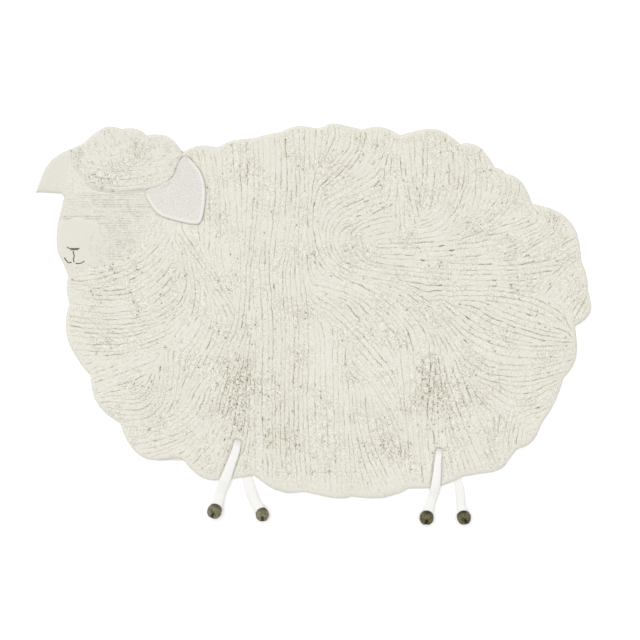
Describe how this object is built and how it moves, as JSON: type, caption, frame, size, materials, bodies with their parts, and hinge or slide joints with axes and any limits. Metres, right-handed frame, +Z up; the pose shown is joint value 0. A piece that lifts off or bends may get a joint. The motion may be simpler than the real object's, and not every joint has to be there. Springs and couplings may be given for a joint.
{
  "type": "sheep shaped wool rug",
  "caption": "A flat tufted wool rug in the outline of a sheep seen from the side, with raised rows of pile, a sewn ear flap and stuffed cotton legs that end in felted hooves.",
  "frame": {"origin": "On the floor, under the middle of the whole rug's plan rectangle, legs and hooves included.", "axes": "+X towards the tail, -X towards the nose, +Y towards the sheep's back, -Y towards its hooves, +Z up from the floor."},
  "size_m": [1.6978, 1.2284, 0.0432],
  "materials": {
    "fleece": "undyed cream wool, tufted in swirling rows about 15 mm apart, matt, with darker furrows between the rows",
    "ear_cloth": "close-cropped off-white wool with a paler rolled rim",
    "leg_cotton": "soft white cotton tube, lightly stuffed",
    "hoof_felt": "felted olive-grey wool with a darker cleft"
  },
  "bodies": {
    "root": {"tufted_rug": "fleece", "near_ear": "ear_cloth", "leg_near_front": "leg_cotton", "leg_far_front": "leg_cotton", "leg_near_rear": "leg_cotton", "leg_far_rear": "leg_cotton", "hoof_near_front": "hoof_felt", "hoof_far_front": "hoof_felt", "hoof_near_rear": "hoof_felt", "hoof_far_rear": "hoof_felt"}
  },
  "joints": []
}
